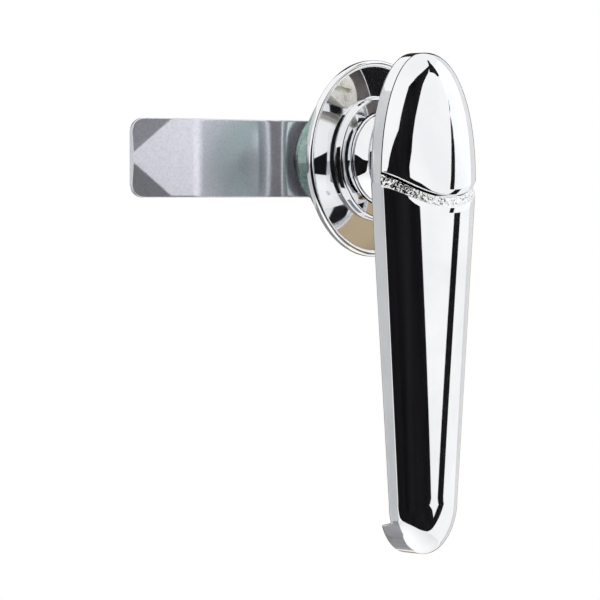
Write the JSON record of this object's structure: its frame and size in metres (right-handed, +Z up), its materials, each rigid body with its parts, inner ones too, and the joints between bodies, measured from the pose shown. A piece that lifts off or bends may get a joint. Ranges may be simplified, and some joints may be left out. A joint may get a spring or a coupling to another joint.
{
  "type": "cabinet handle lock",
  "caption": "Chromed lever handle on a round rose that turns a bent cam behind a cabinet door, with a key lock under a swivelling cover.",
  "frame": {"origin": "on the handle's turning axis, at the rose's back face, which lies on the outside of the door", "axes": "+X to the right seen from the front of the door, +Y into the cabinet along the turning axis, +Z up; the lever hangs along -Z and the cam points along -X"},
  "size_m": [0.0794, 0.0546, 0.1211],
  "materials": {
    "chrome": "polished chrome on zinc die casting",
    "zinc_plate": "satin zinc-plated steel strip",
    "plated_steel": "zinc-plated steel",
    "dark_steel": "phosphated spring steel",
    "brass": "machined brass",
    "gasket": "grey-green rubber",
    "nylon": "natural nylon"
  },
  "bodies": {
    "mount": {"rose": "chrome", "panel_gasket": "gasket", "tooth_washer": "plated_steel", "fixing_nut": "plated_steel", "stop_pin": "dark_steel"},
    "handle": {"lever": "chrome", "stem_seal": "gasket", "thrust_washer": "plated_steel", "retaining_ring": "dark_steel", "cam": "zinc_plate", "cam_washer": "plated_steel", "cam_spring_washer": "dark_steel", "cam_screw": "plated_steel", "cylinder_shell": "brass", "cylinder_pin": "dark_steel"},
    "plug": {"lock_plug": "brass", "wafers": "brass", "plug_tail": "plated_steel", "tail_screw": "dark_steel"},
    "bolt": {"lock_bolt": "plated_steel"},
    "cover": {"key_cover": "chrome", "cover_screw": "plated_steel", "cover_wave_washer": "dark_steel", "cover_slip_washer": "nylon"}
  },
  "joints": [
    {"name": "handle_turn", "type": "hinge", "parent": "mount", "child": "handle", "pos_m": [0, 0, 0], "axis": [0, -1, 0], "range_deg": [0, 90]},
    {"name": "key_turn", "type": "hinge", "parent": "handle", "child": "plug", "pos_m": [0, 0, 0], "axis": [0, -1, 0], "range_deg": [0, 90]},
    {"name": "bolt_slide", "type": "slide", "parent": "handle", "child": "bolt", "axis": [0, 0, 1], "range_m": [0, 0.00368]},
    {"name": "cover_swing", "type": "hinge", "parent": "handle", "child": "cover", "pos_m": [0, 0, 0.0165], "axis": [0, -1, 0], "range_deg": [-110, 110]}
  ],
  "couplings": [
    {"joint": "bolt_slide", "follows": "key_turn", "m_per_rad": 0.0023408}
  ]
}
